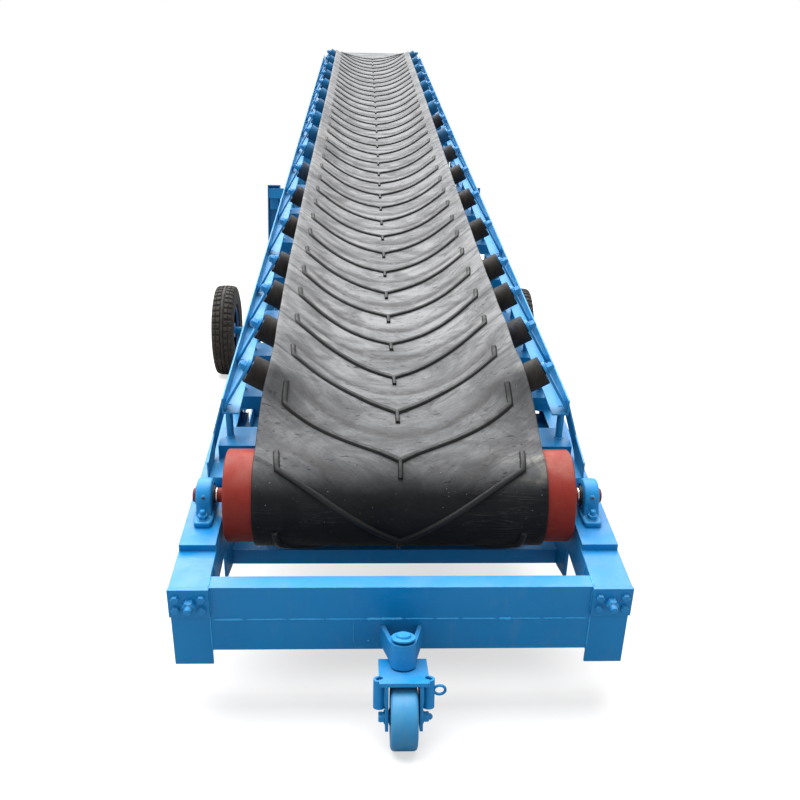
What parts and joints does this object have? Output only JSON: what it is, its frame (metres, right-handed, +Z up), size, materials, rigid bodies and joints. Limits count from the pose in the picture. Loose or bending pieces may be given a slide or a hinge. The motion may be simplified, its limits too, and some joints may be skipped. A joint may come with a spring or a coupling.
{
  "type": "mobile belt conveyor",
  "caption": "Inclined troughed belt conveyor with chevron belt, angle-steel side trusses, two-wheel lifting undercarriage and a swivel caster at the tail.",
  "frame": {"origin": "on the ground under the middle of the machine's length and width", "axes": "+X to the machine's right seen from the tail, +Y from the tail to the head, +Z up"},
  "size_m": [2.68, 9.4966, 3.2215],
  "materials": {
    "frame_paint": "sky blue enamel, semi-gloss, dusty",
    "drum_paint": "red oxide primer, satin",
    "belt_rubber": "matt, dusty on the carrying side",
    "roller_paint": "dark, rubbed by the belt",
    "tyre_rubber": "matt, dusty",
    "wheel_paint": "blue enamel, worn on the tread",
    "zinc_steel": "zinc plated, dull",
    "rod_chrome": "hard chrome"
  },
  "bodies": {
    "frame": {"belt": "belt_rubber", "bottom_chord_left": "frame_paint", "bottom_chord_right": "frame_paint", "bottom_ties": "frame_paint", "caster_bracket": "frame_paint", "centre_rollers": "roller_paint", "head_drum": "drum_paint", "head_plates": "frame_paint", "idler_cross_channels": "frame_paint", "middle_chord_left": "frame_paint", "middle_chord_right": "frame_paint", "pivot_lugs": "frame_paint", "return_hangers": "frame_paint", "return_rollers": "roller_paint", "side_bracing_left": "frame_paint", "side_bracing_right": "frame_paint", "tail_bearing_left": "frame_paint", "tail_bearing_right": "frame_paint", "tail_cross_beam": "frame_paint", "tail_drum": "drum_paint", "tail_end_plates": "frame_paint", "tail_rear_beam": "frame_paint", "tail_side_frames": "frame_paint", "take_up_screws": "zinc_steel", "take_up_slides": "frame_paint", "terminal_box": "frame_paint", "top_chord_left": "frame_paint", "top_chord_right": "frame_paint", "wing_brackets_left": "frame_paint", "wing_brackets_right": "frame_paint", "wing_rollers_left": "roller_paint", "wing_rollers_right": "roller_paint"},
    "lift_carriage": {"lift_beam": "frame_paint", "lift_rods": "rod_chrome"},
    "under_carriage": {"axle_beam": "frame_paint", "upright_left": "frame_paint", "upright_right": "frame_paint", "lift_cylinders": "frame_paint"},
    "wheel_left": {"tyre_left": "tyre_rubber", "rim_left": "frame_paint"},
    "wheel_right": {"tyre_right": "tyre_rubber", "rim_right": "frame_paint"},
    "caster_fork": {"caster_fork": "frame_paint", "caster_axle": "zinc_steel"},
    "caster_wheel": {"caster_wheel": "wheel_paint"}
  },
  "joints": [
    {"name": "lift_pivot", "type": "hinge", "parent": "frame", "child": "lift_carriage", "pos_m": [0, 1.33565, 1.635], "axis": [1, 0, 0], "range_deg": [-0.6, 4.2]},
    {"name": "lift_slide", "type": "slide", "parent": "lift_carriage", "child": "under_carriage", "axis": [0, 0, -1], "range_m": [-0.4, 0.04]},
    {"name": "wheel_left_spin", "type": "hinge", "parent": "under_carriage", "child": "wheel_left", "pos_m": [-1.248, 1.36865, 0.381], "axis": [1, 0, 0], "continuous": true},
    {"name": "wheel_right_spin", "type": "hinge", "parent": "under_carriage", "child": "wheel_right", "pos_m": [1.248, 1.36865, 0.381], "axis": [1, 0, 0], "continuous": true},
    {"name": "caster_swivel", "type": "hinge", "parent": "frame", "child": "caster_fork", "pos_m": [0, -4.60935, 0.2], "axis": [0, 0, 1], "continuous": true},
    {"name": "caster_roll", "type": "hinge", "parent": "caster_fork", "child": "caster_wheel", "pos_m": [0, -4.66835, 0.08], "axis": [1, 0, 0], "continuous": true}
  ],
  "couplings": [
    {"joint": "lift_pivot", "follows": "lift_slide", "rad_per_m": -0.16656}
  ]
}
